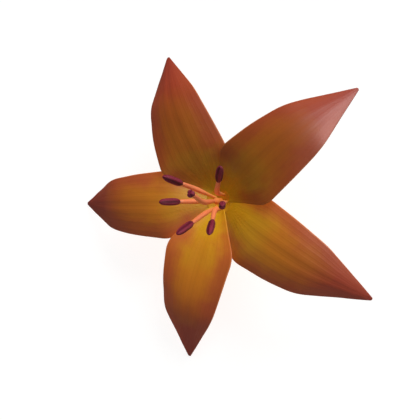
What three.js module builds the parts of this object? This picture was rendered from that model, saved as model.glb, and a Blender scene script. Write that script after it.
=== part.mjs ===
// A tiger lily bloom as picked: five spread petals, six stamens and a pistil on a short cut stem.
// It lies face up, on the tips of two neighbouring petals and the cut end of its stem.
// Millimetres. In the flower's own frame the petals spread round the Z axis with their tips near
// z = 0, and the flower opens towards +Z. Azimuths are counted from +X towards +Y.
import * as THREE from 'three';
import { mergeVertices } from 'three/addons/utils/BufferGeometryUtils.js';

// ---- petals --------------------------------------------------------------------------------
const petalReach = 68.4;      // axis to tip
const petalFootRadius = 5.4;  // where a petal leaves the receptacle
const petalFootCorner = 4.0;  // its foot curves round the receptacle, so its corners are further in
const petalFootHeight = 3.3;
const petalFootHalfWidth = 3.9;
const petalTipHalfWidth = 0.5;
const shoulderRadius = 17.5;  // the widest place, where neighbours overlap
const shoulderHalfWidth = 14.2;
const shoulderHeight = 13.0;
const shoulderRise = 0.9;     // how far the margins stand above the midline there
const crestRadius = 32.3;     // the highest place, where the petal starts to bend back
const crestHalfWidth = 12.7;
const crestHeight = 17.0;
const crestDrop = 1.7;        // how far the margins bend below the midline
const bendRadius = 44.7;      // where the outline turns towards the tip
const bendHalfWidth = 10.6;
const bendHeight = 15.6;
const bendDrop = 1.8;
const cornerEase = 4;         // length over which a corner of the outline is rounded
const throatShift = 1.5;      // the throat is off the axis of the tips, towards +Y
const throatFadesAt = 0.32;   // fraction of a petal's length over which it bends back to it

// Where neighbours overlap, one margin is raised and the other tucked under it.
// The fractions are of the petal's length.
const overlapShift = 1.7;
const overlapShiftAtFoot = 1.15;
const overlapFullAt = 0.12;
const overlapFadesFrom = 0.3;
const overlapGoneAt = 0.6;

const midThickness = 1.1;
const marginThickness = 0.64;
const furrowDepth = 0.2;      // channel along the face
const keelHeight = 0.45;      // ridge along the back
const furrowHalfWidth = 0.14; // as a fraction of the petal's half width
const petalRows = 26;
const petalStations = [-1, -0.8, -0.58, -0.36, -0.14, 0, 0.14, 0.36, 0.58, 0.8, 1];

// over: +1 where a margin lies over its neighbour and -1 where it lies under,
// for the margin on the anticlockwise side and then the other
const petals = [
  { name: 'petal_1', azimuth: 110.4, over: [1, -1] },
  { name: 'petal_2', azimuth: 38.2, over: [1, 1] },
  { name: 'petal_3', azimuth: -31.2, over: [-1, -1] },
  { name: 'petal_4', azimuth: -103.5, over: [1, 1] },
  { name: 'petal_5', azimuth: 179.3, over: [-1, -1] },
];

// ---- stamens and pistil --------------------------------------------------------------------
const seatGap = 0.3;          // clearance between pieces that touch
const stamenRing = 3.4;       // radius on which the filaments stand
const filamentLower = 9.0;    // foot to bend
const filamentUpper = 7.9;    // bend to anther
const filamentFootRadius = 0.6;
const filamentRadius = 0.95;
const filamentEndRadius = 0.8;
const antherLength = 10.4;
const antherRadius = 1.35;
const antherFlatness = 0.82;  // thickness over width
const antherGroove = 0.12;    // depth of the groove between its two lobes, over its radius
const antherOutline = [       // fraction of its length, fraction of its radius
  [0, 0], [0, 0.45], [0.08, 0.72], [0.25, 1], [0.62, 1], [0.86, 0.7], [0.97, 0.3], [1, 0],
];

// lean and spread: angles off the axis below and above a filament's bend
const stamens = [
  { azimuth: 142, lean: 30, spread: 24 },
  { azimuth: 52, lean: 8, spread: 36 },
  { azimuth: -7, lean: 12, spread: 18 },
  { azimuth: -63, lean: 4, spread: 27 },
  { azimuth: -120, lean: 15, spread: 23 },
  { azimuth: 179, lean: 23, spread: 20 },
];

const styleBendHeight = 21;   // the style is straight up to here
const styleTop = 30.2;
const styleShift = 2.6;       // and ends this far off its axis, towards +Y
const ovaryFootRadius = 1.2;  // the swelling at the foot of the style
const ovaryRadius = 1.5;
const ovaryWidestAt = 2;
const ovaryHeight = 4.5;
const stigmaRadius = 1.5;
const stigmaHeight = 2.6;
const stigmaLobes = 3;
const stigmaCleft = 0.12;     // depth of the clefts between its lobes, over its radius
const stigmaOutline = [
  [0, 0], [0, 0.5], [0.3, 0.85], [0.62, 1], [0.88, 0.72], [1, 0.25], [0.94, 0],
];

const rodSteps = 8;
const rodSides = 8;
const antherSides = 12;
const stigmaSides = 12;

// ---- stem ----------------------------------------------------------------------------------
const receptacleTop = 4.0;
const receptacleRadius = petalFootRadius - 2 * seatGap;
const receptacleBevel = 0.6;
const ledgeRadius = 6.1;      // the swelling under the petals' feet
const ledgeHeight = 1.3;
const ledgeThickness = 1.6;
const stemRadius = 1.9;
const neckHeight = -4;        // where the receptacle has narrowed to the stem
const neckRadius = 2.2;
const shoulderOfNeck = 3.3;   // radius halfway down to the neck
const stemSides = 16;

// ---- how it lies ---------------------------------------------------------------------------
const leanAngle = 20.4;       // the axis leans this far from the vertical
const leanHeading = 217.9;    // towards the gap between the two petals that it lies on

const petalFinish = { color: 0xb0602a, roughness: 0.55, metalness: 0 };
const filamentFinish = { color: 0xe8824e, roughness: 0.5, metalness: 0 };
const antherFinish = { color: 0x5e1a2c, roughness: 0.8, metalness: 0 };
const stemFinish = { color: 0x6f7d2c, roughness: 0.6, metalness: 0 };

const { clamp, degToRad, lerp, smoothstep } = THREE.MathUtils;
const across = new THREE.Vector3(1, 0, 0);
const sideways = new THREE.Vector3(0, 1, 0);
const up = new THREE.Vector3(0, 0, 1);

function meshOf(name, geometry, finish) {
  geometry.computeVertexNormals();
  const mesh = new THREE.Mesh(geometry, new THREE.MeshStandardMaterial(finish));
  mesh.name = name;
  return mesh;
}

// One closed body from a three.js geometry whose seams and poles have doubled vertices.
function welded(geometry) {
  geometry.deleteAttribute('normal');
  geometry.deleteAttribute('uv');
  const body = mergeVertices(geometry);
  const kept = [];
  for (let i = 0; i < body.index.count; i += 3) {
    const [a, b, c] = [body.index.getX(i), body.index.getX(i + 1), body.index.getX(i + 2)];
    if (a !== b && b !== c && c !== a) kept.push(a, b, c);
  }
  body.setIndex(kept);
  return body;
}

// A body turned about Z from [height, radius] pairs that start and end on the axis.
function turned(profile, sides) {
  const points = profile.map(([height, radius]) => new THREE.Vector2(radius, height));
  const body = welded(new THREE.LatheGeometry(points, sides));
  body.rotateX(Math.PI / 2);
  return body;
}

function moveVertices(geometry, move) {
  const place = geometry.getAttribute('position');
  const point = new THREE.Vector3();
  for (let i = 0; i < place.count; i++) {
    move(point.fromBufferAttribute(place, i));
    place.setXYZ(i, point.x, point.y, point.z);
  }
}

// A path through the points, straight between them, with each corner rounded off.
function easedPath(points) {
  const path = new THREE.CurvePath();
  let from = points[0];
  for (let i = 1; i < points.length - 1; i++) {
    const corner = points[i];
    const before = corner.clone().lerp(points[i - 1], cornerEase / corner.distanceTo(points[i - 1]));
    const after = corner.clone().lerp(points[i + 1], cornerEase / corner.distanceTo(points[i + 1]));
    path.add(new THREE.LineCurve3(from, before));
    path.add(new THREE.QuadraticBezierCurve3(before, corner, after));
    from = after;
  }
  path.add(new THREE.LineCurve3(from, points.at(-1)));
  return path;
}

// ---- petal ---------------------------------------------------------------------------------
// A petal is drawn with X from the axis to its tip and Y across it, and then turned to its azimuth.

function petalMidline() {
  return new THREE.CatmullRomCurve3([
    new THREE.Vector3(petalFootRadius, 0, petalFootHeight),
    new THREE.Vector3(shoulderRadius, 0, shoulderHeight),
    new THREE.Vector3(crestRadius, 0, crestHeight),
    new THREE.Vector3(bendRadius, 0, bendHeight),
    new THREE.Vector3(petalReach, 0, 0),
  ], false, 'centripetal');
}

function petalMargin() {
  return easedPath([
    new THREE.Vector3(petalFootCorner, petalFootHalfWidth, petalFootHeight),
    new THREE.Vector3(shoulderRadius, shoulderHalfWidth, shoulderHeight + shoulderRise),
    new THREE.Vector3(crestRadius, crestHalfWidth, crestHeight - crestDrop),
    new THREE.Vector3(bendRadius, bendHalfWidth, bendHeight - bendDrop),
    new THREE.Vector3(petalReach, petalTipHalfWidth, 0),
  ]);
}

// How far a margin is raised or tucked, at a fraction of the petal's length.
function overlapAt(along) {
  const grown = smoothstep(along, 0, overlapFullAt);
  const faded = smoothstep(along, overlapFadesFrom, overlapGoneAt);
  return lerp(overlapShiftAtFoot, overlapShift, grown) * (1 - faded);
}

// The middle surface: a grid of points, one row for each step along the petal.
// The section across it is a parabola through the midline and both margins.
function petalSurface(petal) {
  const midline = petalMidline().getSpacedPoints(petalRows);
  const margin = petalMargin().getSpacedPoints(petalRows);
  return midline.map((middle, row) => petalStations.map((station) => {
    const along = row / petalRows;
    const edge = margin[row];
    const square = station * station;
    const side = station > 0 ? petal.over[0] : petal.over[1];
    const point = new THREE.Vector3(
      lerp(middle.x, edge.x, square),
      station * edge.y,
      lerp(middle.z, edge.z, square) + side * overlapAt(along) * square,
    );
    point.applyAxisAngle(up, degToRad(petal.azimuth));
    point.y += throatShift * (1 - smoothstep(along, 0, throatFadesAt));
    return point;
  }));
}

function surfaceNormal(grid, row, column) {
  const before = grid[Math.max(row - 1, 0)][column];
  const after = grid[Math.min(row + 1, grid.length - 1)][column];
  const right = grid[row][Math.max(column - 1, 0)];
  const left = grid[row][Math.min(column + 1, grid[row].length - 1)];
  return after.clone().sub(before).cross(left.clone().sub(right)).normalize();
}

// Distance from the middle surface to the face (facing 1) or the back (facing -1).
function halfThickness(along, station, facing) {
  const half = lerp(midThickness, marginThickness, Math.abs(station)) / 2;
  const nearMidline = Math.max(0, 1 - Math.abs(station) / furrowHalfWidth) * Math.sin(Math.PI * along);
  return facing > 0 ? half - furrowDepth * nearMidline : half + keelHeight * nearMidline;
}

function bladePositions(grid) {
  const positions = [];
  for (const facing of [1, -1]) {
    grid.forEach((line, row) => line.forEach((point, column) => {
      const offset = facing * halfThickness(row / petalRows, petalStations[column], facing);
      const moved = surfaceNormal(grid, row, column).multiplyScalar(offset).add(point);
      positions.push(moved.x, moved.y, moved.z);
    }));
  }
  return positions;
}

// The face and the back are split into triangles alike, and a narrow wall joins their borders.
function bladeIndices(rows, columns) {
  const indices = [];
  const back = rows * columns;
  const at = (row, column) => row * columns + column;
  const wall = (p, q) => indices.push(p, p + back, q + back, p, q + back, q);
  for (let row = 0; row < rows - 1; row++) {
    for (let column = 0; column < columns - 1; column++) {
      const [a, b] = [at(row, column), at(row + 1, column)];
      const [c, d] = [b + 1, a + 1];
      indices.push(a, b, c, a, c, d);
      indices.push(a + back, c + back, b + back, a + back, d + back, c + back);
    }
    wall(at(row, 0), at(row + 1, 0));
    wall(at(row + 1, columns - 1), at(row, columns - 1));
  }
  for (let column = 0; column < columns - 1; column++) {
    wall(at(0, column + 1), at(0, column));
    wall(at(rows - 1, column), at(rows - 1, column + 1));
  }
  return indices;
}

function makePetal(petal) {
  const blade = new THREE.BufferGeometry();
  const positions = bladePositions(petalSurface(petal));
  blade.setAttribute('position', new THREE.Float32BufferAttribute(positions, 3));
  blade.setIndex(bladeIndices(petalRows + 1, petalStations.length));
  return meshOf(petal.name, blade, petalFinish);
}

// ---- stamens and pistil --------------------------------------------------------------------

// A turned rod bent along a curve. profile: [distance along it, radius] pairs.
function rodAlong(curve, profile, sideHint) {
  const rod = turned(profile, rodSides);
  const length = curve.getLength();
  moveVertices(rod, (point) => {
    const along = clamp(point.z / length, 0, 1);
    const ahead = curve.getTangentAt(along);
    const out = new THREE.Vector3().crossVectors(ahead, sideHint).normalize();
    const side = new THREE.Vector3().crossVectors(out, ahead);
    const { x, y } = point;
    curve.getPointAt(along, point);
    point.addScaledVector(side, y).addScaledVector(out, -x);
  });
  return rod;
}

// Slim at the foot, thickest in the middle and a little slimmer at the end.
function rodProfile(length) {
  const profile = [[0, 0], [0, filamentFootRadius]];
  for (let i = 1; i < rodSteps; i++) {
    const along = i / rodSteps;
    const grown = lerp(filamentFootRadius, filamentRadius, smoothstep(along, 0, 0.5));
    profile.push([length * along, lerp(grown, filamentEndRadius, smoothstep(along, 0.5, 1))]);
  }
  profile.push([length, filamentEndRadius], [length, 0]);
  return profile;
}

function direction(angleOffAxis) {
  return up.clone().applyAxisAngle(sideways, degToRad(angleOffAxis));
}

function filamentCurve(stamen) {
  const footDrop = filamentFootRadius * Math.sin(degToRad(stamen.lean));
  const foot = new THREE.Vector3(stamenRing, 0, receptacleTop + seatGap + footDrop);
  const bend = foot.clone().addScaledVector(direction(stamen.lean), filamentLower);
  const top = bend.clone().addScaledVector(direction(stamen.spread), filamentUpper);
  return new THREE.CatmullRomCurve3([foot, bend, top], false, 'centripetal');
}

// Sets a head on the end of its stalk, in line with it.
function seatOn(curve, mesh) {
  const ahead = curve.getTangentAt(1);
  mesh.quaternion.setFromUnitVectors(up, ahead);
  mesh.position.copy(curve.getPointAt(1)).addScaledVector(ahead, seatGap);
  return mesh;
}

function makeFilament(stamen, name) {
  const curve = filamentCurve(stamen);
  return meshOf(name, rodAlong(curve, rodProfile(curve.getLength()), sideways), filamentFinish);
}

function makeAnther(stamen, name) {
  const profile = antherOutline.map(([along, width]) => [along * antherLength, width * antherRadius]);
  const body = turned(profile, antherSides);
  moveVertices(body, (point) => {
    const inGroove = Math.abs(Math.cos(Math.atan2(point.y, point.x))) ** 6;
    const narrowed = 1 - antherGroove * inGroove;
    point.set(point.x * narrowed * antherFlatness, point.y * narrowed, point.z);
  });
  return seatOn(filamentCurve(stamen), meshOf(name, body, antherFinish));
}

function makeStamen(stamen, index) {
  const group = new THREE.Group();
  group.rotation.z = degToRad(stamen.azimuth);
  group.add(makeFilament(stamen, `filament_${index + 1}`));
  group.add(makeAnther(stamen, `anther_${index + 1}`));
  return group;
}

function styleCurve() {
  return new THREE.CatmullRomCurve3([
    new THREE.Vector3(0, 0, receptacleTop + seatGap),
    new THREE.Vector3(0, 0, (receptacleTop + styleBendHeight) / 2),
    new THREE.Vector3(0, 0, styleBendHeight),
    new THREE.Vector3(0, styleShift, styleTop),
  ], false, 'centripetal');
}

function makeStyle() {
  const curve = styleCurve();
  const ovary = [[0, 0], [0, ovaryFootRadius], [ovaryWidestAt, ovaryRadius]];
  const above = rodProfile(curve.getLength()).filter(([distance]) => distance >= ovaryHeight);
  return meshOf('style', rodAlong(curve, [...ovary, ...above], across), filamentFinish);
}

function makeStigma() {
  const profile = stigmaOutline.map(([along, width]) => [along * stigmaHeight, width * stigmaRadius]);
  const body = turned(profile, stigmaSides);
  moveVertices(body, (point) => {
    const around = Math.atan2(point.y, point.x);
    const lobe = 1 - stigmaCleft * (1 - Math.cos(stigmaLobes * around));
    point.set(point.x * lobe, point.y * lobe, point.z);
  });
  return seatOn(styleCurve(), meshOf('stigma', body, antherFinish));
}

// ---- stem ----------------------------------------------------------------------------------

// The receptacle and the stem in one, cut off along the plane that the flower lies on.
// cutHeight(x, y) is the height of that plane.
function makeStem(cutHeight) {
  const belowAll = cutHeight(0, 0);
  const profile = [
    [belowAll, 0],
    [belowAll, stemRadius],
    [2 * neckHeight, stemRadius],
    [neckHeight, neckRadius],
    [neckHeight / 2, shoulderOfNeck],
    [ledgeHeight - ledgeThickness, ledgeRadius - receptacleBevel],
    [ledgeHeight, ledgeRadius],
    [ledgeHeight, receptacleRadius],
    [receptacleTop - receptacleBevel, receptacleRadius],
    [receptacleTop, receptacleRadius - receptacleBevel],
    [receptacleTop, 0],
  ];
  const stem = turned(profile, stemSides);
  moveVertices(stem, (point) => {
    if (point.z === Math.fround(belowAll)) point.z = cutHeight(point.x, point.y);
  });
  return meshOf('stem', stem, stemFinish);
}

// ---- the flower, laid down -----------------------------------------------------------------

function leanRotation() {
  const axle = sideways.clone().applyAxisAngle(up, degToRad(leanHeading));
  return new THREE.Quaternion().setFromAxisAngle(axle, degToRad(leanAngle));
}

function boxOf(object) {
  object.updateWorldMatrix(true, true);
  return new THREE.Box3().setFromObject(object, true);
}

const flower = new THREE.Group();
flower.quaternion.copy(leanRotation());
petals.forEach((petal) => flower.add(makePetal(petal)));
const surfaceHeight = boxOf(flower).min.z;
const surfaceNormalInFlower = up.clone().applyQuaternion(flower.quaternion.clone().invert());

const throat = new THREE.Group();
throat.position.y = throatShift;
throat.add(makeStem((x, y) => {
  const sideShare = surfaceNormalInFlower.x * x + surfaceNormalInFlower.y * (y + throatShift);
  return (surfaceHeight - sideShare) / surfaceNormalInFlower.z;
}));
stamens.forEach((stamen, index) => throat.add(makeStamen(stamen, index)));
throat.add(makeStyle());
throat.add(makeStigma());
flower.add(throat);

const flowerBox = boxOf(flower);
const centre = flowerBox.getCenter(new THREE.Vector3());
flower.position.set(-centre.x, -centre.y, -flowerBox.min.z);

const lily = new THREE.Group();
lily.add(flower);
export default lily;
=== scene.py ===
import math

import bpy
from mathutils import Euler, Matrix, Quaternion, Vector, noise


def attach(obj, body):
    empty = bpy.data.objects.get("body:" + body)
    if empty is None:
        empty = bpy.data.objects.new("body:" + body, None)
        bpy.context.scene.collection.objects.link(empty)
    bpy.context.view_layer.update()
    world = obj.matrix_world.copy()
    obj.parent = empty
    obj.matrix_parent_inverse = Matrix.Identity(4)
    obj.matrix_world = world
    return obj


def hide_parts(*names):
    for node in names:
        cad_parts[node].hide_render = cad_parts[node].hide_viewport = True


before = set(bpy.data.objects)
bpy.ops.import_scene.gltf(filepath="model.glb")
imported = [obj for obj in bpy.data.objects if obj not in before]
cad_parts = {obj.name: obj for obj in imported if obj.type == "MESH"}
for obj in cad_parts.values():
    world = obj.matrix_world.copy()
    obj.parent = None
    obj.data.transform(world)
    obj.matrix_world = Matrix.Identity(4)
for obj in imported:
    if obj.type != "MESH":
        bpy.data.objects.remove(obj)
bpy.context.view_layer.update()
print("frame loaded")

# the flower's own frame: millimetres, petals round Z, opening towards +Z
lying = {
    "lean": 20.4,              # degrees off the vertical
    "heading": 217.9,          # towards the gap between the two petals it lies on
    "place": (4.2889, 0.6380, 18.9752),
    "throatShift": 1.5,        # the throat is off the axis of the tips, towards +Y
}
millimetre = 0.001             # the scene is in metres
seatGap = 0.3                  # clearance between the solids, which the finer pieces close
leanAxle = Vector((0, 1, 0))
leanAxle.rotate(Quaternion((0, 0, 1), math.radians(lying["heading"])))
leanTurn = Quaternion(leanAxle, math.radians(lying["lean"])).to_matrix().to_4x4()
flowerPlace = Matrix.Scale(millimetre, 4) @ Matrix.Translation(lying["place"]) @ leanTurn
throatPlace = flowerPlace @ Matrix.Translation((0, lying["throatShift"], 0))


# small tools

def selectOnly(piece):
    bpy.ops.object.select_all(action="DESELECT")
    piece.select_set(True)
    bpy.context.view_layer.objects.active = piece


def namePiece(name):
    piece = bpy.context.active_object
    piece.name = name
    piece.data.name = name
    selectOnly(piece)
    return piece


def applyModifiers(piece):
    selectOnly(piece)
    for modifier in list(piece.modifiers):
        bpy.ops.object.modifier_apply(modifier=modifier.name)


def mix(start, end, share):
    # from one value to another, evenly
    return start + (end - start) * share


def easeStep(value, start, end):
    # from 0 at the start to 1 at the end, with a soft beginning and end
    t = min(1, max(0, (value - start) / (end - start)))
    return t * t * (3 - 2 * t)


def smoothCurve(points, steps=40):
    # a centripetal curve through the points
    points = [Vector(p) for p in points]
    padded = [2 * points[0] - points[1]] + points + [2 * points[-1] - points[-2]]
    curve = []
    for i in range(1, len(padded) - 2):
        a, b, c, d = padded[i - 1:i + 3]
        ab, bc, cd = [math.sqrt((q - p).length) for p, q in ((a, b), (b, c), (c, d))]
        startSlope = ((b - a) / ab - (c - a) / (ab + bc) + (c - b) / bc) * bc
        endSlope = ((c - b) / bc - (d - b) / (bc + cd) + (d - c) / cd) * bc
        for step in range(steps):
            t = step / steps
            square, cube = t * t, t * t * t
            curve.append(b * (2 * cube - 3 * square + 1) + startSlope * (cube - 2 * square + t)
                         + c * (3 * square - 2 * cube) + endSlope * (cube - square))
    curve.append(points[-1])
    return curve


def easedCurve(points, rounding, steps=16):
    # straight between the points, with each corner rounded over that length
    points = [Vector(p) for p in points]
    curve = [points[0]]
    for before, corner, after in zip(points, points[1:], points[2:]):
        start = corner + (before - corner).normalized() * rounding
        end = corner + (after - corner).normalized() * rounding
        for step in range(steps + 1):
            t = step / steps
            curve.append(start.lerp(corner, t).lerp(corner.lerp(end, t), t))
    curve.append(points[-1])
    return curve


def evenPoints(curve, count):
    # points at equal distances along a curve
    lengths = [0]
    for p, q in zip(curve, curve[1:]):
        lengths.append(lengths[-1] + (q - p).length)
    points, i = [], 0
    for step in range(count + 1):
        goal = lengths[-1] * step / count
        while i < len(curve) - 2 and lengths[i + 1] < goal:
            i += 1
        share = (goal - lengths[i]) / max(lengths[i + 1] - lengths[i], 1e-9)
        points.append(curve[i].lerp(curve[i + 1], share))
    return points


def pointAt(points, share):
    # the point at a share of the way along a line of even points
    place = min(max(share, 0), 1) * (len(points) - 1)
    i = min(int(place), len(points) - 2)
    return points[i].lerp(points[i + 1], place - i)


def slopeAt(points, share):
    # the direction in which the line runs there
    share = min(max(share, 0), 1)
    reach = 1 / (len(points) - 1)
    return (pointAt(points, share + reach) - pointAt(points, share - reach)).normalized()


def keepRest(piece):
    # remembers where each vertex was before it was bent or placed, for the materials
    rest = piece.data.attributes.new("restPlace", "FLOAT_VECTOR", "POINT")
    for vertex in piece.data.vertices:
        rest.data[vertex.index].vector = vertex.co


def finishPiece(piece, node, slot, *materials):
    # gives a piece its materials and puts it in the place of its node
    for material in materials:
        piece.data.materials.append(material)
    selectOnly(piece)
    bpy.ops.object.shade_smooth()
    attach(piece, "root")
    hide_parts(node)


# material tools

def newMaterial(name):
    material = bpy.data.materials.new(name)
    material.use_nodes = True
    return material, material.node_tree.nodes["Principled BSDF"]


def addNode(material, kind, inputs, **settings):
    node = material.node_tree.nodes.new(kind)
    for name, value in settings.items():
        setattr(node, name, value)
    for name, value in inputs.items():
        if isinstance(value, bpy.types.NodeSocket):
            material.node_tree.links.new(value, node.inputs[name])
        else:
            node.inputs[name].default_value = value
    return node


def calc(material, operation, *values):
    node = addNode(material, "ShaderNodeMath", dict(enumerate(values)), operation=operation)
    return node.outputs[0]


def addSwing(material, wave, depth, onto):
    # adds a noise to a value, so that it swings evenly up and down
    return calc(material, "MULTIPLY_ADD", calc(material, "SUBTRACT", wave, 0.5), depth, onto)


def ease(material, value, start, end, low=0.0, high=1.0):
    # from low at the start to high at the end, with a soft beginning and end
    node = addNode(material, "ShaderNodeMapRange",
                   {"Value": value, "From Min": start, "From Max": end, "To Min": low, "To Max": high},
                   interpolation_type="SMOOTHSTEP")
    return node.outputs["Result"]


def blendColours(material, share, first, second, how="MIX"):
    # each colour is a socket, or plain red, green and blue
    inputs = {0: share}
    for socket, colour in ((6, first), (7, second)):
        inputs[socket] = (*colour, 1) if isinstance(colour, tuple) else colour
    node = addNode(material, "ShaderNodeMix", inputs, data_type="RGBA", blend_type=how)
    return node.outputs[2]


def shadeBy(material, shade, colour):
    # makes a colour darker or lighter by a plain value
    grey = addNode(material, "ShaderNodeCombineColor", {i: shade for i in range(3)}).outputs[0]
    return blendColours(material, 1.0, colour, grey, "MULTIPLY")


def colourRamp(material, value, stops):
    node = addNode(material, "ShaderNodeValToRGB", {"Fac": value})
    ramp = node.color_ramp
    for place, colour in stops[1:-1]:
        ramp.elements.new(place)
    for element, (place, colour) in zip(ramp.elements, stops):
        element.position = place
        element.color = (*colour, 1)
    return node.outputs["Color"]


def noiseOn(material, vector, scale, detail=2.0, roughness=0.5):
    node = addNode(material, "ShaderNodeTexNoise",
                   {"Vector": vector, "Scale": scale, "Detail": detail, "Roughness": roughness})
    return node.outputs["Fac"]


def addBumps(material, layers):
    # each layer is a pattern, and how high in metres and how strong it stands on the one before
    normal = None
    for pattern, (height, strength) in layers:
        inputs = {"Height": pattern, "Distance": height, "Strength": strength}
        if normal is not None:
            inputs["Normal"] = normal
        normal = addNode(material, "ShaderNodeBump", inputs).outputs["Normal"]
    return normal


def objectPlace(material):
    return addNode(material, "ShaderNodeTexCoord", {}).outputs["Object"]


def readAttribute(material, name, output="Vector"):
    # a value that each vertex of a piece carries
    return addNode(material, "ShaderNodeAttribute", {}, attribute_name=name).outputs[output]


def splitPlace(material, place):
    return addNode(material, "ShaderNodeSeparateXYZ", {"Vector": place}).outputs


def fibresAlong(material, rest, stretch):
    # streaks that run lengthways on a stalk
    stretched = addNode(material, "ShaderNodeMapping", {"Vector": rest, "Scale": stretch})
    return noiseOn(material, stretched.outputs[0], 1.0, 4, 0.6)


def connect(material, value, socket):
    material.node_tree.links.new(value, socket)


def setRoughness(material, shader, pattern, limits, spread=(0.25, 0.75)):
    connect(material, ease(material, pattern, *spread, *limits), shader.inputs["Roughness"])


# petals

petal = {
    "rows": 124, "columns": 60,
    # the hidden end that dives into the receptacle, as a share of the length, and how steeply
    "claw": 0.032, "clawDrop": 0.9,
    "footRadius": 5.4, "footCorner": 4.0, "footHeight": 3.3, "footHalfWidth": 3.9,
    "reach": 68.4, "tipHalfWidth": 0.5,
    # radius, half width, height, and how far the margins stand above the midline
    "shoulder": (17.5, 14.2, 13.0, 0.9),
    "crest": (32.3, 12.7, 17.0, -1.7),
    "bend": (44.7, 10.6, 15.6, -1.8),
    "cornerEase": 4,           # length over which a corner of the outline is rounded
    "throatFadesAt": 0.32,     # where along the petal the throat's shift has faded
    # how far a margin is raised over its neighbour or tucked under it, and where along the petal
    "overlap": 1.7, "overlapAtFoot": 1.15,
    "overlapFullAt": 0.12, "overlapFadesFrom": 0.3, "overlapGoneAt": 0.6,
    "middleWall": 1.1, "marginWall": 0.64,
    "thinsFrom": 0.92,         # where along the petal the wall thins towards the tip
    "furrow": 0.2, "keel": 0.45,
    "furrowHalfWidth": 0.21,   # as a share of the petal's half width
    "pleat": 0.06, "pleatPlaces": (0.36, 0.66), "pleatHalfWidth": 0.16, "pleatRise": 1.15,
    # slow waves: of the margins, then of the whole blade along and across
    "ripple": 0.22, "rippleWaves": 9, "ripplePower": 3, "rippleSeed": 3.1, "marginSeed": 5,
    "unevenness": 0.18, "unevenWaves": (4.5, 1.6), "unevenSeed": 7.7,
    "wavesFrom": 0.4, "wavesFullAt": 0.6, "wavesFadeFrom": 0.86,
    "rimRound": 0.3, "rimColumns": 4,  # the margin's rounding, and the columns crowded over it
    "tipRound": 0.0065, "tipRows": 5,  # the tip's rounding, as a share of the length, and its rows
    "edgeTurn": 1.36,          # how far round the edge the face turns, in radians
}
# azimuth, and whether the anticlockwise margin and the other lie over (1) or under (-1)
petals = {
    "petal_1": (110.4, 1, -1),
    "petal_2": (38.2, 1, 1),
    "petal_3": (-31.2, -1, -1),
    "petal_4": (-103.5, 1, 1),
    "petal_5": (179.3, -1, -1),
}


def petalLines():
    # the midline and one margin, as the petal points along +X
    bends = [petal["shoulder"], petal["crest"], petal["bend"]]
    middle = [(petal["footRadius"], 0, petal["footHeight"])]
    middle += [(radius, 0, height) for radius, width, height, rise in bends]
    middle += [(petal["reach"], 0, 0)]
    margin = [(petal["footCorner"], petal["footHalfWidth"], petal["footHeight"])]
    margin += [(radius, width, height + rise) for radius, width, height, rise in bends]
    margin += [(petal["reach"], petal["tipHalfWidth"], 0)]
    curves = smoothCurve(middle), easedCurve(margin, petal["cornerEase"])
    return [evenPoints(curve, petal["rows"]) for curve in curves]


def petalPoint(lines, along, across, over):
    middle, margin = pointAt(lines[0], along), pointAt(lines[1], along)
    square = across * across
    grown = mix(petal["overlapAtFoot"], petal["overlap"], easeStep(along, 0, petal["overlapFullAt"]))
    lift = grown * (1 - easeStep(along, petal["overlapFadesFrom"], petal["overlapGoneAt"]))
    side = over[0] if across > 0 else over[1]
    height = mix(middle.z, margin.z, square) + side * lift * square
    inward = max(0, -along) * petal["reach"]
    narrowed = 1 - inward / petal["footRadius"]
    height -= inward * petal["clawDrop"]
    return Vector((mix(middle.x, margin.x, square) * narrowed, across * margin.y * narrowed, height))


def middleRidge(along, across):
    # how much of the furrow and the keel there is at a spot
    near = max(0, 1 - abs(across) / petal["furrowHalfWidth"])
    return easeStep(near, 0, 1) * math.sin(math.pi * max(along, 0))


def petalRelief(along, across, seed):
    # how far the blade's middle surface is pushed along its normal
    furrowAndKeel = petal["furrow"] + petal["keel"]
    relief = -furrowAndKeel / 2 * middleRidge(along, across)
    for place in petal["pleatPlaces"]:
        near = max(0, 1 - abs(abs(across) - place) / petal["pleatHalfWidth"])
        swell = math.sin(math.pi * min(1, max(along, 0) * petal["pleatRise"]))
        relief -= petal["pleat"] * easeStep(near, 0, 1) * swell
    free = easeStep(along, petal["wavesFrom"], petal["wavesFullAt"])
    free *= 1 - easeStep(along, petal["wavesFadeFrom"], 1)
    marginSeed = seed * petal["rippleSeed"] + math.copysign(petal["marginSeed"], across)
    wave = noise.noise(Vector((along * petal["rippleWaves"], marginSeed, 0)))
    relief += petal["ripple"] * wave * free * abs(across) ** petal["ripplePower"]
    wavesAlong, wavesAcross = petal["unevenWaves"]
    spot = Vector((along * wavesAlong, across * wavesAcross, seed * petal["unevenSeed"]))
    drift = noise.noise(spot)
    return relief + petal["unevenness"] * drift * free


def petalWall(along, across):
    # thinner towards the margins and the tip, thicker at the keel
    toEdge = max(abs(across), easeStep(along, petal["thinsFrom"], 1))
    wall = mix(petal["middleWall"], petal["marginWall"], toEdge)
    return wall + (petal["keel"] - petal["furrow"]) * middleRidge(along, across)


def roundEdge(share, steps, zone):
    # moves even shares so that the last steps crowd over a rounded edge,
    # and tells how much of the wall is left there
    plain = 1 - steps
    if share <= plain:
        return share / plain * (1 - zone), 1
    turn = (share - plain) / steps * petal["edgeTurn"]
    reached = math.sin(turn) / math.sin(petal["edgeTurn"])
    return 1 - zone * (1 - reached), math.cos(turn)


def petalSpot(lines, corner):
    # a grid vertex's place along and across the petal,
    # and how much of the wall the tip and the rim leave there
    tipSteps = petal["tipRows"] / petal["rows"]
    share, tipShare = roundEdge((corner.x + 1) / 2, tipSteps, petal["tipRound"])
    along = mix(-petal["claw"], 1, share)
    rimSteps = 2 * petal["rimColumns"] / petal["columns"]
    zone = min(0.5, petal["rimRound"] / pointAt(lines[1], along).y)
    across, rimShare = roundEdge(abs(corner.y), rimSteps, zone)
    return along, math.copysign(across, corner.y), tipShare, rimShare


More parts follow.
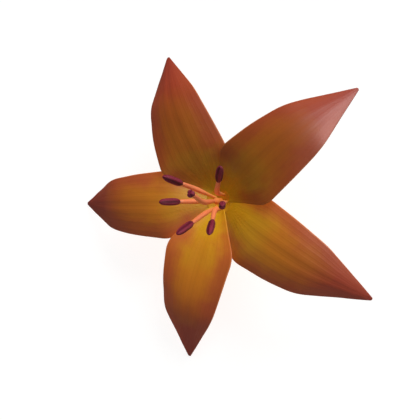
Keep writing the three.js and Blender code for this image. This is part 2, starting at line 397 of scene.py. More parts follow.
def makePetal(name, azimuth, over, lines):
    bpy.ops.object.select_all(action="DESELECT")
    bpy.ops.mesh.primitive_grid_add(x_subdivisions=petal["rows"], y_subdivisions=petal["columns"],
                                    size=2)
    piece = namePiece(name + "_fine")
    turn = Matrix.Rotation(math.radians(azimuth), 4, "Z")
    spots = [petalSpot(lines, vertex.co) for vertex in piece.data.vertices]
    for loop, corner in zip(piece.data.loops, piece.data.uv_layers.active.data):
        along, across = spots[loop.vertex_index][:2]
        corner.uv = (along, (across + 1) / 2)
    for vertex, (along, across, tipShare, _) in zip(piece.data.vertices, spots):
        vertex.co = turn @ petalPoint(lines, along, across * tipShare, over)
        vertex.co.y += lying["throatShift"] * (1 - easeStep(along, 0, petal["throatFadesAt"]))
    piece.data.update()
    thickest = petal["middleWall"] + petal["keel"] - petal["furrow"]
    wallShare = piece.vertex_groups.new(name="wall")
    normals = [vertex.normal.copy() for vertex in piece.data.vertices]
    for vertex, spot, normal in zip(piece.data.vertices, spots, normals):
        along, across, tipShare, rimShare = spot
        vertex.co += normal * petalRelief(along, across, azimuth)
        wall = petalWall(along, across) * tipShare * rimShare
        wallShare.add([vertex.index], wall / thickest, "REPLACE")
    piece.data.transform(flowerPlace)
    wallMaker = piece.modifiers.new("wall", "SOLIDIFY")
    wallMaker.thickness = thickest * millimetre
    wallMaker.offset = 0
    wallMaker.vertex_group = "wall"
    wallMaker.material_offset = 1
    applyModifiers(piece)
    # each petal carries its tint, its painted shade and its painted lightness
    ownTint = piece.data.attributes.new("ownTint", "FLOAT_VECTOR", "POINT")
    for value in ownTint.data:
        value.vector = petalPaint["own"][name]
    finishPiece(piece, name, "petal", petalFaceMaterial, petalBackMaterial)


# colours are linear; places run from the foot to the tip
petalPaint = {
    "centre": [
        (0.0, (0.62, 0.370, 0.008)),
        (0.14, (0.61, 0.300, 0.005)),
        (0.34, (0.58, 0.185, 0.006)),
        (0.52, (0.48, 0.122, 0.009)),
        (0.70, (0.385, 0.050, 0.014)),
        (1.0, (0.36, 0.040, 0.018)),
    ],
    "margin": [
        (0.0, (0.62, 0.330, 0.010)),
        (0.14, (0.54, 0.165, 0.012)),
        (0.22, (0.51, 0.116, 0.016)),
        (0.60, (0.43, 0.072, 0.018)),
        (1.0, (0.38, 0.046, 0.018)),
    ],
    # the colour of the painted highlight along the free margin
    "rimHighlightColour": (0.66, 0.20, 0.045),
    # each petal's tint and painted shade: how far its inner half is darkened and greened as painted
    # shade, how much sooner its gold ends, and its painted lightness, which stands in for how much light
    # the petal gets
    "own": {
        "petal_1": (1, 0.03, 0.94),
        "petal_2": (1, 0.0, 0.96),
        "petal_3": (0, -0.05, 1.0),
        "petal_4": (0, 0.0, 1.04),
        "petal_5": (0, 0.04, 0.95),
    },
    # painted shade: the inner half of a petal made darker and greener, as where it faces away from the
    # light
    "paintedThroatShade": [
        (0.0, (0.80, 1.10, 0.60)),
        (0.20, (0.84, 0.95, 0.60)),
        (0.36, (0.84, 0.76, 0.60)),
        (0.55, (0.88, 0.80, 0.75)),
        (0.75, (1.0, 1.0, 1.0)),
        (1.0, (1.0, 1.0, 1.0)),
    ],
    "back": [
        (0.0, (0.50, 0.30, 0.050)),
        (0.25, (0.55, 0.22, 0.040)),
        (0.60, (0.50, 0.13, 0.035)),
        (1.0, (0.36, 0.065, 0.035)),
    ],
    "backRib": (0.36, 0.26, 0.045),
    # slow noises that shift the colours across and along: their fineness, and how far they shift them
    "driftScale": 75, "driftAcross": 0.45, "driftAlong": 0.16,
    "blotScale": 160, "blotAcross": 0.45, "blotAlong": 0.10,
    "backDriftScale": 90, "backDriftAlong": 0.2,
    # where a colour begins and where it is full, across from the middle or along from the foot
    "marginAcross": (0.28, 0.9),
    "rimAcross": (0.955, 0.99), "rimAlong": (0.15, 0.4), "rimEnds": (0.99, 0.93),
    "ribAcross": (0.2, 0.03), "ribAlong": (0.85, 0.2),
    "veinCount": 15, "veinSharpness": 9.0, "veinDepth": 0.03, "veinBalance": 0.25,
    "swingScale": 60, "swing": 0.07,
    "streakAlong": 2.6, "streakAcross": 17.0, "streakScale": 1.6, "streakDepth": 0.07,
    "mottleScale": 900, "mottleDepth": 0.06,
    # raised dots on the throat: where they are, along and across, and their size
    "dotsAlong": (0.34, 0.08), "dotsAcross": (0.75, 0.2), "dotScale": 900.0, "dotEdge": (0.5, 0.1),
    "grainScale": 2600,
    # what stands up from the surface: height in metres, and strength
    "dotBump": (0.0001, 0.5), "veinBump": (0.00005, 0.35),
    "streakBump": (0.00005, 0.35), "grainBump": (0.00004, 0.5),
    "roughness": (0.48, 0.58),
    "ior": 1.5,
}


def petalCoordinates(material):
    # along from foot to tip, and across from -1 to 1
    uv = addNode(material, "ShaderNodeUVMap", {}).outputs["UV"]
    split = splitPlace(material, uv)
    return split["X"], calc(material, "MULTIPLY_ADD", split["Y"], 2.0, -1.0)


def petalVeins(material, along, across):
    # fine lines that run together at the foot and the tip, and streaks between them
    swing = noiseOn(material, objectPlace(material), petalPaint["swingScale"], 1)
    bent = addSwing(material, swing, petalPaint["swing"], across)
    phase = calc(material, "MULTIPLY", bent, petalPaint["veinCount"] * math.pi / 2)
    wave = calc(material, "ABSOLUTE", calc(material, "COSINE", phase))
    line = calc(material, "POWER", wave, petalPaint["veinSharpness"])
    stretched = addNode(material, "ShaderNodeCombineXYZ",
                        {"X": calc(material, "MULTIPLY", along, petalPaint["streakAlong"]),
                         "Y": calc(material, "MULTIPLY", bent, petalPaint["streakAcross"])})
    streak = noiseOn(material, stretched.outputs[0], petalPaint["streakScale"], 4, 0.6)
    return line, streak


def throatDots(material, along, across):
    fromMiddle = calc(material, "ABSOLUTE", across)
    inThroat = calc(material, "MULTIPLY", ease(material, along, *petalPaint["dotsAlong"]),
                    ease(material, fromMiddle, *petalPaint["dotsAcross"]))
    cells = addNode(material, "ShaderNodeTexVoronoi",
                    {"Vector": objectPlace(material), "Scale": petalPaint["dotScale"]},
                    feature="SMOOTH_F1").outputs["Distance"]
    return calc(material, "MULTIPLY", ease(material, cells, *petalPaint["dotEdge"]), inThroat)


def shadePetal(material, shader, base, along, across, bumpiness):
    # veins, streaks and mottling over a petal's colour, its gloss, and its fine relief
    spot = objectPlace(material)
    line, streak = petalVeins(material, along, across)
    mottle = noiseOn(material, spot, petalPaint["mottleScale"], 3, 0.6)
    grain = noiseOn(material, spot, petalPaint["grainScale"], 2)
    depth = petalPaint["veinDepth"]
    shade = calc(material, "MULTIPLY_ADD", line, -depth, 1.0 + depth * petalPaint["veinBalance"])
    shade = addSwing(material, streak, -petalPaint["streakDepth"], shade)
    shade = addSwing(material, mottle, petalPaint["mottleDepth"], shade)
    connect(material, shadeBy(material, shade, base), shader.inputs["Base Color"])
    setRoughness(material, shader, streak, petalPaint["roughness"])
    shader.inputs["IOR"].default_value = petalPaint["ior"]
    patterns = {"dotBump": throatDots(material, along, across), "veinBump": line,
                "streakBump": streak, "grainBump": grain}
    layers = []
    for name, pattern in patterns.items():
        height, strength = petalPaint[name]
        layers.append((pattern, (height * bumpiness, strength)))
    connect(material, addBumps(material, layers), shader.inputs["Normal"])


def makePetalFace():
    material, shader = newMaterial("petal face")
    along, across = petalCoordinates(material)
    fromMiddle = calc(material, "ABSOLUTE", across)
    paintedShadeShare, goldEnds, paintedLightness = splitPlace(material, readAttribute(material, "ownTint"))
    # the colours' bounds drift in and out
    spot = objectPlace(material)
    drift = noiseOn(material, spot, petalPaint["driftScale"], 2)
    blot = noiseOn(material, spot, petalPaint["blotScale"], 3, 0.6)
    toMargin = addSwing(material, drift, petalPaint["driftAcross"], fromMiddle)
    toMargin = addSwing(material, blot, petalPaint["blotAcross"], toMargin)
    fromFoot = calc(material, "ADD", along, goldEnds)
    fromFoot = addSwing(material, drift, petalPaint["driftAlong"], fromFoot)
    fromFoot = addSwing(material, blot, petalPaint["blotAlong"], fromFoot)
    centre = colourRamp(material, fromFoot, petalPaint["centre"])
    margin = colourRamp(material, fromFoot, petalPaint["margin"])
    base = blendColours(material, ease(material, toMargin, *petalPaint["marginAcross"]), centre, margin)
    # a painted highlight: a lighter line round the free margin, as where light catches the edge
    freeMargin = calc(material, "MULTIPLY", ease(material, along, *petalPaint["rimAlong"]),
                      ease(material, along, *petalPaint["rimEnds"]))
    rimHighlightShare = ease(material, fromMiddle, *petalPaint["rimAcross"])
    rimHighlightShare = calc(material, "MULTIPLY", rimHighlightShare, freeMargin)
    base = blendColours(material, rimHighlightShare, base, petalPaint["rimHighlightColour"])
    # painted shade on the inner half of the petals that face away from the light, then each petal's
    # painted lightness
    paintedThroatShade = colourRamp(material, fromFoot, petalPaint["paintedThroatShade"])
    base = blendColours(material, paintedShadeShare, base, paintedThroatShade, "MULTIPLY")
    base = shadeBy(material, paintedLightness, base)
    shadePetal(material, shader, base, along, across, 1.0)
    return material


def makePetalBack():
    material, shader = newMaterial("petal back")
    along, across = petalCoordinates(material)
    drift = noiseOn(material, objectPlace(material), petalPaint["backDriftScale"], 3)
    fromFoot = addSwing(material, drift, petalPaint["backDriftAlong"], along)
    base = colourRamp(material, fromFoot, petalPaint["back"])
    fromMiddle = calc(material, "ABSOLUTE", across)
    nearRib = calc(material, "MULTIPLY", ease(material, fromMiddle, *petalPaint["ribAcross"]),
                   ease(material, along, *petalPaint["ribAlong"]))
    base = blendColours(material, nearRib, base, petalPaint["backRib"])
    shadePetal(material, shader, base, along, across, 1.5)
    return material


petalFaceMaterial = makePetalFace()
petalBackMaterial = makePetalBack()
lines = petalLines()
for name, (azimuth, *over) in petals.items():
    makePetal(name, azimuth, over, lines)
print("petals shaped")


# stalks of the stamens, and the style

stalk = {
    "ring": 3.4,               # the ring on which the feet stand round the style
    "foot": 4.3,               # their height
    "lower": 9.0, "upper": 7.9,  # lengths below and above the bend
    "footRadius": 0.6, "radius": 1.02, "endRadius": 0.86,
    "sides": 20, "cuts": 34,
    "sunk": 2.6,               # how far a foot reaches down into the receptacle
    "overrun": 0.6,            # how far the end runs into its head
    "neck": 0.78, "neckLength": 1.0,  # how slim and how long the neck under the head is
    "endRound": 0.25, "endSegments": 3, "endAngle": 50,
}
# azimuth, and the angles off the axis below and above the bend
stamens = {
    1: (142, 30, 24),
    2: (52, 8, 36),
    3: (-7, 12, 18),
    4: (-63, 4, 27),
    5: (-120, 15, 23),
    6: (179, 23, 20),
}
pistil = {
    "bendHeight": 21, "top": 30.2, "shift": 2.6,
    "ovaryFoot": 1.2, "ovaryRadius": 1.5, "ovaryWidestAt": 2,
    "ovaryFades": (5.5, 1.5),  # heights at which the ovary's swelling ends and is full
}


def tilted(angle):
    # a direction so many degrees off the axis
    return Vector((math.sin(math.radians(angle)), 0, math.cos(math.radians(angle))))


def stamenLine(lean, spread):
    footDrop = stalk["footRadius"] * math.sin(math.radians(lean))
    foot = Vector((stalk["ring"], 0, stalk["foot"] + footDrop))
    bend = foot + tilted(lean) * stalk["lower"]
    return evenPoints(smoothCurve([foot, bend, bend + tilted(spread) * stalk["upper"]]), 60)


def styleLine():
    low = Vector((0, 0, stalk["foot"]))
    half = Vector((0, 0, (stalk["foot"] - seatGap + pistil["bendHeight"]) / 2))
    bend = Vector((0, 0, pistil["bendHeight"]))
    top = Vector((0, pistil["shift"], pistil["top"]))
    return evenPoints(smoothCurve([low, half, bend, top]), 90)


def stalkRadius(along):
    grown = mix(stalk["footRadius"], stalk["radius"], easeStep(along, 0, 0.5))
    return mix(grown, stalk["endRadius"], easeStep(along, 0.5, 1))


def styleRadius(along):
    height = along * (pistil["top"] - stalk["foot"])
    widened = easeStep(height, 0, pistil["ovaryWidestAt"])
    ovary = mix(pistil["ovaryFoot"], pistil["ovaryRadius"], widened)
    return mix(stalkRadius(along), ovary, easeStep(height, *pistil["ovaryFades"]))


def lengthOf(line):
    return sum((q - p).length for p, q in zip(line, line[1:]))


def makeRod(name, line, radiusAt, acrossBend):
    # a cylinder cut into rings, which are sized and then set along the line
    # acrossBend points square to the plane that the line bends in
    bpy.ops.object.select_all(action="DESELECT")
    bpy.ops.mesh.primitive_cylinder_add(vertices=stalk["sides"], radius=1, depth=2,
                                        end_fill_type="TRIFAN")
    piece = namePiece(name + "_fine")
    bpy.ops.object.mode_set(mode="EDIT")
    bpy.ops.mesh.select_mode(type="EDGE")
    bpy.ops.mesh.select_all(action="DESELECT")
    bpy.ops.object.mode_set(mode="OBJECT")
    for edge in piece.data.edges:
        low, high = [piece.data.vertices[i].co.z for i in edge.vertices]
        edge.select = abs(high - low) > 1
    bpy.ops.object.mode_set(mode="EDIT")
    bpy.ops.mesh.subdivide(number_cuts=stalk["cuts"])
    bpy.ops.object.mode_set(mode="OBJECT")
    length = lengthOf(line)
    full = length + stalk["sunk"] + stalk["overrun"]
    neckEnd = length + seatGap
    for vertex in piece.data.vertices:
        run = (vertex.co.z + 1) / 2 * full - stalk["sunk"]
        radius = radiusAt(min(max(run / length, 0), 1))
        radius *= mix(1, stalk["neck"], easeStep(run, neckEnd - stalk["neckLength"], neckEnd))
        vertex.co = Vector((vertex.co.x * radius, vertex.co.y * radius, run))
    keepRest(piece)
    for vertex in piece.data.vertices:
        along = vertex.co.z / length
        ahead = slopeAt(line, along)
        out = ahead.cross(acrossBend).normalized()
        side = out.cross(ahead)
        beyond = vertex.co.z - min(max(vertex.co.z, 0), length)
        centre = pointAt(line, along) + ahead * beyond
        vertex.co = centre + side * vertex.co.y - out * vertex.co.x
    rounder = piece.modifiers.new("ends", "BEVEL")
    rounder.limit_method = "ANGLE"
    rounder.angle_limit = math.radians(stalk["endAngle"])
    rounder.width = stalk["endRound"]
    rounder.segments = stalk["endSegments"]
    applyModifiers(piece)
    return piece


stalkPaint = {
    "colours": [(0.0, (0.87, 0.31, 0.058)), (0.3, (0.92, 0.28, 0.102)), (1.0, (0.89, 0.25, 0.097))],
    "colourRun": (1.0, 19.0),  # lengths at which the colours start and end
    "driftScale": 240, "drift": 3.0,
    "fibres": (3.2, 3.2, 0.22), "fibreDepth": 0.24, "grainScale": 6.0,
    "fibreBump": (0.00025, 0.6), "grainBump": (0.00005, 0.6),
    "roughness": (0.38, 0.52),
}


def makeStalkMaterial():
    material, shader = newMaterial("salmon stalk")
    rest = readAttribute(material, "restPlace")
    drift = noiseOn(material, objectPlace(material), stalkPaint["driftScale"], 2)
    run = calc(material, "MULTIPLY_ADD", drift, stalkPaint["drift"], splitPlace(material, rest)["Z"])
    base = colourRamp(material, ease(material, run, *stalkPaint["colourRun"]), stalkPaint["colours"])
    fibres = fibresAlong(material, rest, stalkPaint["fibres"])
    shade = addSwing(material, fibres, -stalkPaint["fibreDepth"], 1.0)
    connect(material, shadeBy(material, shade, base), shader.inputs["Base Color"])
    setRoughness(material, shader, fibres, stalkPaint["roughness"])
    grain = noiseOn(material, rest, stalkPaint["grainScale"], 3)
    bump = addBumps(material, [(fibres, stalkPaint["fibreBump"]), (grain, stalkPaint["grainBump"])])
    connect(material, bump, shader.inputs["Normal"])
    return material


stalkMaterial = makeStalkMaterial()
stamenLines = {}
for number, (azimuth, lean, spread) in stamens.items():
    node = f"filament_{number}"
    stamenLines[number] = stamenLine(lean, spread)
    rod = makeRod(node, stamenLines[number], stalkRadius, Vector((0, 1, 0)))
    rod.data.transform(throatPlace @ Matrix.Rotation(math.radians(azimuth), 4, "Z"))
    finishPiece(rod, node, "filament", stalkMaterial)
style = makeRod("style", styleLine(), styleRadius, Vector((1, 0, 0)))
style.data.transform(throatPlace)
finishPiece(style, "style", "filament", stalkMaterial)
print("stalks grown")


# anthers and stigma

anther = {
    "length": 10.4, "radius": 1.35, "flatness": 0.94,
    "sides": 40, "rings": 56,
    # depths as shares of the radius, and how narrow each is
    "groove": 0.17, "grooveSharpness": 11, "slit": 0.06, "slitSharpness": 24,
    "slitShade": 0.6,          # how dark a slit is beside a groove
    "swell": 0.05, "swellScale": 0.35, "swellSeed": 9,
    "grainSeed": 20,           # how far apart the anthers' grain is taken
    # from the foot up: share of the length, share of the radius
    "outline": [(0, 0), (0.01, 0.42), (0.06, 0.72), (0.18, 1.0), (0.34, 1.07), (0.5, 1.07),
                (0.7, 1.02), (0.86, 0.78), (0.95, 0.46), (0.99, 0.2), (1, 0)],
}
stigma = {
    "height": 2.6, "radius": 1.5,
    "sides": 48, "rings": 36,
    "lobes": 3, "cleft": 0.26, "cleftSharpness": 3,
    "outline": [(0, 0), (0.01, 0.35), (0.08, 0.62), (0.3, 0.88), (0.55, 1), (0.78, 0.88),
                (0.94, 0.6), (1, 0.25), (0.95, 0)],
}


def scaledOutline(head, length):
    return [(share * length, width * head["radius"]) for share, width in head["outline"]]


def turnedPiece(name, outline, sides, rings):
    # a sphere reshaped into a turned body: its poles go to the ends of the outline
    bpy.ops.object.select_all(action="DESELECT")
    bpy.ops.mesh.primitive_uv_sphere_add(segments=sides, ring_count=rings, radius=1)
    piece = namePiece(name)
    curve = evenPoints(smoothCurve([(radius, 0, height) for height, radius in outline]), 4 * rings)
    for vertex in piece.data.vertices:
        share = 1 - math.acos(max(-1, min(1, vertex.co.z))) / math.pi
        spot = pointAt(curve, share)
        flat = Vector((vertex.co.x, vertex.co.y, 0))
        flat = flat.normalized() * max(spot.x, 0) if flat.length > 1e-5 else Vector()
        vertex.co = flat + Vector((0, 0, spot.z))
    return piece


def shapeAnther(piece):
    # two pollen sacs with a groove between them on the face and the back, and a slit along each
    lobe = piece.data.attributes.new("lobe", "FLOAT", "POINT")
    for vertex in piece.data.vertices:
        around = math.atan2(vertex.co.y, vertex.co.x)
        inGroove = abs(math.cos(around)) ** anther["grooveSharpness"]
        inSlit = abs(math.sin(around)) ** anther["slitSharpness"]
        body = math.sin(math.pi * min(1, max(0, vertex.co.z / anther["length"]))) ** 0.5
        narrowed = 1 - (anther["groove"] * inGroove + anther["slit"] * inSlit) * body
        vertex.co.x *= narrowed * anther["flatness"]
        vertex.co.y *= narrowed
        lobe.data[vertex.index].value = 1 - inGroove - anther["slitShade"] * inSlit


def shapeStigma(piece):
    # rounded lobes with clefts between them
    lobe = piece.data.attributes.new("lobe", "FLOAT", "POINT")
    for vertex in piece.data.vertices:
        around = math.atan2(vertex.co.y, vertex.co.x)
        inCleft = ((1 - math.cos(stigma["lobes"] * around)) / 2) ** stigma["cleftSharpness"]
        vertex.co.x *= 1 - stigma["cleft"] * inCleft
        vertex.co.y *= 1 - stigma["cleft"] * inCleft
        lobe.data[vertex.index].value = 1 - inCleft


def seatOn(line):
    # the place of a head on the end of a stalk
    ahead = slopeAt(line, 1)
    turn = Vector((0, 0, 1)).rotation_difference(ahead).to_matrix().to_4x4()
    return Matrix.Translation(line[-1] + ahead * seatGap) @ turn


antherPaint = {
    "deep": (0.105, 0.005, 0.020),
    "body": (0.215, 0.011, 0.038),
    "dust": (0.32, 0.052, 0.068),
    "patchScale": 0.9, "patchSwing": 0.7,
    "bodyShows": (0.1, 0.9),   # from the depth of a groove to the top of a lobe
    "dustShows": (0.3, 1.2), "dustGrain": (0.48, 0.72),
    "cellShare": 0.8,          # the relief's grain beside the colour's
    "grainBump": (0.00010, 0.55), "patchBump": (0.00035, 0.5),
    "roughness": (0.5, 0.75), "roughnessSpread": (0.3, 0.7),
    "ior": 1.38,
}


def makeAntherMaterial(name, grain):
    material, shader = newMaterial(name)
    rest = readAttribute(material, "restPlace")
    patch = noiseOn(material, rest, antherPaint["patchScale"], 3)
    pollen = noiseOn(material, rest, grain, 2, 0.6)
    raised = addSwing(material, patch, antherPaint["patchSwing"], readAttribute(material, "lobe", "Fac"))
    base = blendColours(material, ease(material, raised, *antherPaint["bodyShows"]),
                        antherPaint["deep"], antherPaint["body"])
    dusted = calc(material, "MULTIPLY", ease(material, pollen, *antherPaint["dustGrain"]),
                  ease(material, raised, *antherPaint["dustShows"]))
    base = blendColours(material, dusted, base, antherPaint["dust"])
    connect(material, base, shader.inputs["Base Color"])
    setRoughness(material, shader, pollen, antherPaint["roughness"], antherPaint["roughnessSpread"])
    shader.inputs["IOR"].default_value = antherPaint["ior"]
    cells = addNode(material, "ShaderNodeTexVoronoi",
                    {"Vector": rest, "Scale": grain * antherPaint["cellShare"]}).outputs["Distance"]
    grains = calc(material, "SUBTRACT", 1.0, cells)
    bump = addBumps(material, [(grains, antherPaint["grainBump"]), (patch, antherPaint["patchBump"])])
    connect(material, bump, shader.inputs["Normal"])
    return material


antherMaterial = makeAntherMaterial("maroon anther", 6.5)
stigmaMaterial = makeAntherMaterial("maroon stigma", 4.5)
outline = scaledOutline(anther, anther["length"])
model = turnedPiece("anther_model", outline, anther["sides"], anther["rings"])
shapeAnther(model)
for number, (azimuth, lean, spread) in stamens.items():
    selectOnly(model)
    bpy.ops.object.duplicate()
    piece = namePiece(f"anther_{number}_fine")
    # each is plump in its own way
    for vertex in piece.data.vertices:
        seed = Vector((number * anther["swellSeed"], 0, 0))
        swell = anther["swell"] * noise.noise(vertex.co * anther["swellScale"] + seed)
        vertex.co.x *= 1 + swell
        vertex.co.y *= 1 + swell
        vertex.co.z = max(vertex.co.z, 0)
    keepRest(piece)
    for vertex in piece.data.attributes["restPlace"].data:
        vertex.vector = vertex.vector + Vector((0, 0, number * anther["grainSeed"]))
    turn = Matrix.Rotation(math.radians(azimuth), 4, "Z")
    piece.data.transform(throatPlace @ turn @ seatOn(stamenLines[number]))
    finishPiece(piece, f"anther_{number}", "anther", antherMaterial)
bpy.data.objects.remove(model)

outline = scaledOutline(stigma, stigma["height"])
head = turnedPiece("stigma_fine", outline, stigma["sides"], stigma["rings"])
shapeStigma(head)
keepRest(head)
head.data.transform(throatPlace @ seatOn(styleLine()))
finishPiece(head, "stigma", "anther", stigmaMaterial)
print("anthers and stigma seated")


# stem and receptacle

stem = {
    "sides": 64, "rings": 150,
    # height and radius, from the middle of the receptacle's top down to the rough end,
    # which is then cut along the surface that the bloom lies on
    "outline": [(1.95, 0), (2.05, 1.2), (2.5, 2.4), (3.05, 3.6), (3.58, 4.7), (3.78, 5.2),
                (3.62, 5.6), (2.7, 5.6), (1.6, 5.95), (0.9, 6.05),
                (0.2, 5.75), (-0.8, 4.6), (-2, 3.35), (-4, 2.25), (-6, 1.97), (-8, 1.9),
                (-16, 1.9), (-23.6, 1.9), (-24, 1.4), (-24, 0)],
    "ridges": 7, "ridgeDepth": 0.03,
    "ridgesDeepen": (1, 6),    # depths between which the ridges grow
    # furrows on the receptacle's top, between the stalks' feet
    "furrows": 6, "furrowDepth": 0.12, "furrowsRise": (0.8, 1.6), "furrowReach": 5,
    "smoothBelow": 40,         # edges turned less than this are shaded smooth
}
stemPaint = {
    "throat": (0.58, 0.320, 0.010),
    "collar": (0.40, 0.24, 0.040),
    "green": (0.16, 0.22, 0.035),
    "pale": (0.30, 0.34, 0.075),
    "cut": (0.62, 0.60, 0.30),
    "cutRing": (0.26, 0.30, 0.08),
    "driftScale": 260, "drift": 2.0,
    "fibres": (2.4, 2.4, 0.16), "fibreShows": (0.3, 0.75),
    # heights at which the collar's and the throat's colours start and are full
    "collarRise": (-4.5, 2.0), "throatRise": (1.2, 1.8),
    "cutHeight": (0.00022, 0.00006),  # the same for the cut, in metres above the surface
    "pithScale": 5.0, "pithShows": (0.4, 0.65), "ringAt": (1.25, 1.6),
    "rays": 9.0, "rayStretch": 0.5, "grainScale": 7.0,
    "fibreBump": (0.0004, 0.6), "rayBump": (0.00018, 0.5), "grainBump": (0.00002, 0.5),
    "roughness": (0.42, 0.58),
}


def makeStem():
    outline = list(reversed(stem["outline"]))
    piece = turnedPiece("stem_fine", outline, stem["sides"], stem["rings"])
    for vertex in piece.data.vertices:
        around = math.atan2(vertex.co.y, vertex.co.x)
        below = easeStep(-vertex.co.z, *stem["ridgesDeepen"])
        ridge = 1 + stem["ridgeDepth"] * below * math.cos(stem["ridges"] * around)
        out = math.hypot(vertex.co.x, vertex.co.y)
        onTop = easeStep(vertex.co.z, *stem["furrowsRise"])
        onTop *= math.sin(math.pi * min(1, out / stem["furrowReach"]))
        dip = stem["furrowDepth"] * onTop * (0.5 + 0.5 * math.cos(stem["furrows"] * around))
        vertex.co = Vector((vertex.co.x * ridge, vertex.co.y * ridge, vertex.co.z - dip))
    keepRest(piece)
    piece.data.transform(throatPlace)
    selectOnly(piece)
    bpy.ops.object.mode_set(mode="EDIT")
    bpy.ops.mesh.select_all(action="SELECT")
    bpy.ops.mesh.bisect(plane_co=(0, 0, 0), plane_no=(0, 0, 1), threshold=1e-7,
                        use_fill=True, clear_inner=True)
    bpy.ops.mesh.select_all(action="SELECT")
    bpy.ops.mesh.normals_make_consistent(inside=False)
    bpy.ops.object.mode_set(mode="OBJECT")
    return piece


def makeStemMaterial():
    material, shader = newMaterial("stem")
    rest = readAttribute(material, "restPlace")
    spot = objectPlace(material)
    x, y, height = splitPlace(material, rest)
    inThroat = ease(material, height, *stemPaint["throatRise"])
    fibres = fibresAlong(material, rest, stemPaint["fibres"])
    drift = noiseOn(material, spot, stemPaint["driftScale"], 2)
    toCollar = calc(material, "MULTIPLY_ADD", drift, stemPaint["drift"], height)
    base = blendColours(material, ease(material, fibres, *stemPaint["fibreShows"]),
                        stemPaint["green"], stemPaint["pale"])
    base = blendColours(material, ease(material, toCollar, *stemPaint["collarRise"]),
                        base, stemPaint["collar"])
    base = blendColours(material, inThroat, base, stemPaint["throat"])
    # the cut end: a pale pith with a green ring round it
    onCut = ease(material, splitPlace(material, spot)["Z"], *stemPaint["cutHeight"])
    flat = addNode(material, "ShaderNodeCombineXYZ", {"X": x, "Y": y}).outputs[0]
    out = addNode(material, "ShaderNodeVectorMath", {0: flat}, operation="LENGTH").outputs["Value"]
    pores = noiseOn(material, rest, stemPaint["pithScale"], 3)
    pith = blendColours(material, ease(material, pores, *stemPaint["pithShows"]),
                        stemPaint["cut"], stemPaint["pale"])
    pith = blendColours(material, ease(material, out, *stemPaint["ringAt"]), pith, stemPaint["cutRing"])
    connect(material, blendColours(material, onCut, base, pith), shader.inputs["Base Color"])
    setRoughness(material, shader, fibres, stemPaint["roughness"])
    # fibres on the stalk, faint lines towards the middle of the throat
    around = calc(material, "ARCTAN2", y, x)
    rays = addNode(material, "ShaderNodeCombineXYZ",
                   {"X": calc(material, "MULTIPLY", around, stemPaint["rays"]),
                    "Y": calc(material, "MULTIPLY", height, stemPaint["rayStretch"])})
    rays = noiseOn(material, rays.outputs[0], 1.0, 3)
    onStalk = calc(material, "SUBTRACT", 1.0, inThroat)
    grain = noiseOn(material, rest, stemPaint["grainScale"], 2)
    bump = addBumps(material, [(calc(material, "MULTIPLY", fibres, onStalk), stemPaint["fibreBump"]),
                               (calc(material, "MULTIPLY", rays, inThroat), stemPaint["rayBump"]),
                               (grain, stemPaint["grainBump"])])
    connect(material, bump, shader.inputs["Normal"])
    return material


stemPiece = makeStem()
finishPiece(stemPiece, "stem", "stem", makeStemMaterial())
bpy.ops.object.shade_smooth_by_angle(angle=math.radians(stem["smoothBelow"]))
print("stem cut")


# floor, light and camera

studio = {
    "floorSize": 8, "floorDrop": 0.00005,
    "floorColour": (0.62, 0.62, 0.615), "floorDarker": (0.6107, 0.6107, 0.605775),
    "floorGlow": 0.52, "floorRoughness": 0.9, "floorSpecular": 0.1,
    # two suns from one side; the fill gives no shadow and no gloss
    "keyToward": (0.316, 0.667, 0.675), "keySoftness": 27, "keyPower": 0.55, "fillPower": 2.35,
    # a lamp beside the bloom that adds only gloss: what it points at, from where, its width and power
    "sheenAim": (0.056, 0.020, 0.040), "sheenToward": (0.80, 0.30, 0.55), "sheenDistance": 0.22,
    "sheenWidth": 0.18, "sheenPower": 0.64,
    "sky": 0.21, "backdrop": 0.95,
}
view = {
    "place": (0.014544, -0.031192, 0.183705),
    "turn": (10.251, 4.903, 2.028),
    "lens": 34.286, "sensor": 36, "clip": (0.005, 20),
}


def makeFloor():
    bpy.ops.object.select_all(action="DESELECT")
    bpy.ops.mesh.primitive_plane_add(size=studio["floorSize"], location=(0, 0, -studio["floorDrop"]))
    floor = namePiece("floor")
    material, shader = newMaterial("pale floor")
    grain = noiseOn(material, objectPlace(material), 30, 2)
    base = blendColours(material, ease(material, grain, 0.2, 0.8),
                        studio["floorColour"], studio["floorDarker"])
    connect(material, base, shader.inputs["Base Color"])
    shader.inputs["Roughness"].default_value = studio["floorRoughness"]
    shader.inputs["Specular IOR Level"].default_value = studio["floorSpecular"]
    shader.inputs["Emission Color"].default_value = (1, 1, 1, 1)
    shader.inputs["Emission Strength"].default_value = studio["floorGlow"]
    floor.data.materials.append(material)
    floor.visible_glossy = False


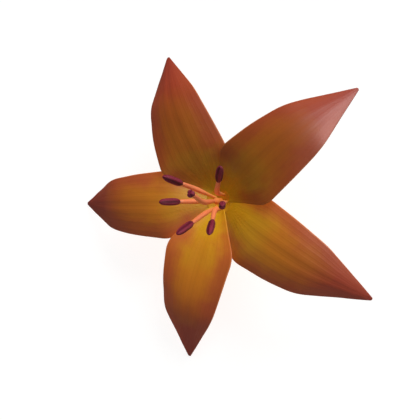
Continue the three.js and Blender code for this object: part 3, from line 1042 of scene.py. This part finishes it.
def makeSky():
    # a dim even sky that leaves gloss to the lamps, and shows as a pale backdrop
    world = bpy.data.worlds.new("studio")
    world.use_nodes = True
    bpy.context.scene.world = world
    nodes, links = world.node_tree.nodes, world.node_tree.links
    world.cycles_visibility.glossy = False
    ray = nodes.new("ShaderNodeLightPath")
    strength = nodes.new("ShaderNodeMapRange")
    links.new(ray.outputs["Is Camera Ray"], strength.inputs["Value"])
    strength.inputs["To Min"].default_value = studio["sky"]
    strength.inputs["To Max"].default_value = studio["backdrop"]
    links.new(strength.outputs["Result"], nodes["Background"].inputs["Strength"])
    nodes["Background"].inputs["Color"].default_value = (1, 1, 1, 1)


def makeLight(name, kind, aim, toward, distance, power):
    # a light that looks at the aim from some way off in the direction toward
    toward = Vector(toward).normalized()
    bpy.ops.object.light_add(type=kind, location=Vector(aim) + toward * distance)
    light = bpy.context.active_object
    light.name = name
    light.rotation_euler = toward.to_track_quat("Z", "Y").to_euler()
    light.data.energy = power
    return light


def makeSun(name):
    sun = makeLight(name, "SUN", (0, 0, 0), studio["keyToward"], 1, studio[name + "Power"])
    sun.data.angle = math.radians(studio["keySoftness"])
    return sun


def makeSheen():
    light = makeLight("sheen", "AREA", studio["sheenAim"], studio["sheenToward"],
                      studio["sheenDistance"], studio["sheenPower"])
    light.data.shape = "DISK"
    light.data.size = studio["sheenWidth"]
    light.data.use_shadow = False
    light.visible_diffuse = False
    light.visible_camera = False


def makeCamera():
    turn = Euler([math.radians(angle) for angle in view["turn"]])
    bpy.ops.object.camera_add(location=view["place"], rotation=turn)
    camera = bpy.context.active_object
    camera.data.lens = view["lens"]
    camera.data.sensor_width = view["sensor"]
    camera.data.clip_start, camera.data.clip_end = view["clip"]
    bpy.context.scene.camera = camera


makeFloor()
makeSky()
makeSun("key")
fill = makeSun("fill")
fill.data.use_shadow = False
fill.visible_glossy = False
makeSheen()
makeCamera()
bpy.context.scene.view_settings.view_transform = "Standard"
bpy.ops.object.select_all(action="DESELECT")
print("stage set")
